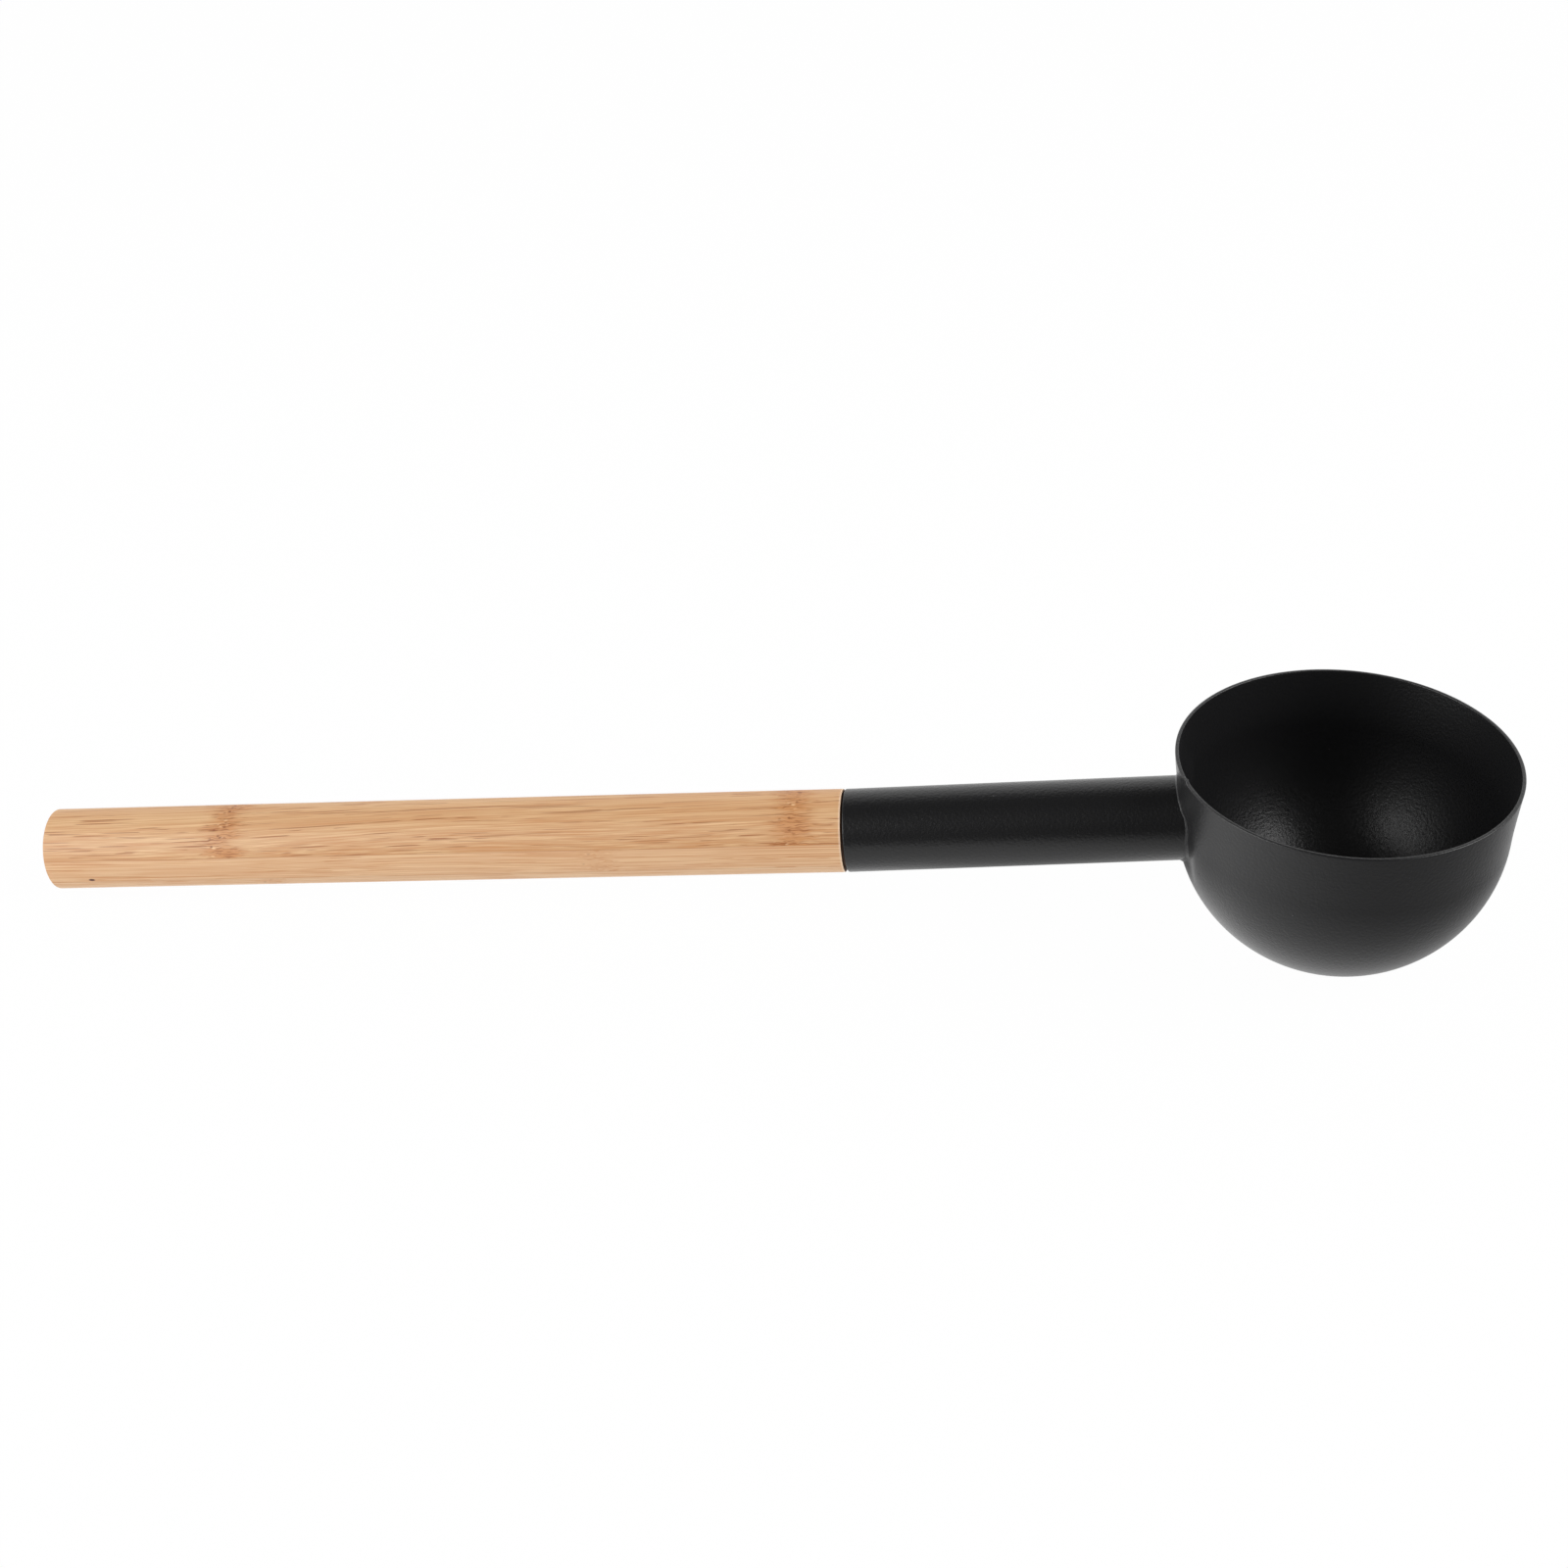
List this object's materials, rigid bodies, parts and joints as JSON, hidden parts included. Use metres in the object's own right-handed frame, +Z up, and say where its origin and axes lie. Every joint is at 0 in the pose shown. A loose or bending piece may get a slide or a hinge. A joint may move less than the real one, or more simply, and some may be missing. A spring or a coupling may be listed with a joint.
{
  "type": "sauna ladle",
  "caption": "Sauna ladle with a round black-coated metal bowl, a welded tube neck and a straight round laminated bamboo handle.",
  "frame": {"origin": "on the table under the middle of the ladle's length, with the ladle lying on its bowl and its handle's end and the bowl's rim level", "axes": "+X from the handle's end towards the bowl, +Z up, out of the bowl's mouth"},
  "size_m": [0.3908, 0.0866, 0.0582],
  "materials": {
    "bowl_coat": "matt black powder coat with a fine orange-peel texture on pressed aluminium",
    "tube_coat": "matt black powder coat on drawn aluminium tube",
    "weld_coat": "matt black powder coat over a small rippled weld bead",
    "bamboo_top": "sanded natural bamboo, satin, with brown fibres and two nodes",
    "bamboo_middle": "sanded natural bamboo, satin, pale with fine fibres",
    "bamboo_bottom": "sanded natural bamboo, satin, pale with fine fibres"
  },
  "bodies": {
    "root": {"bowl": "bowl_coat", "neck_tube": "tube_coat", "neck_weld": "weld_coat", "handle_ply_top": "bamboo_top", "handle_ply_middle": "bamboo_middle", "handle_ply_bottom": "bamboo_bottom"}
  },
  "joints": []
}
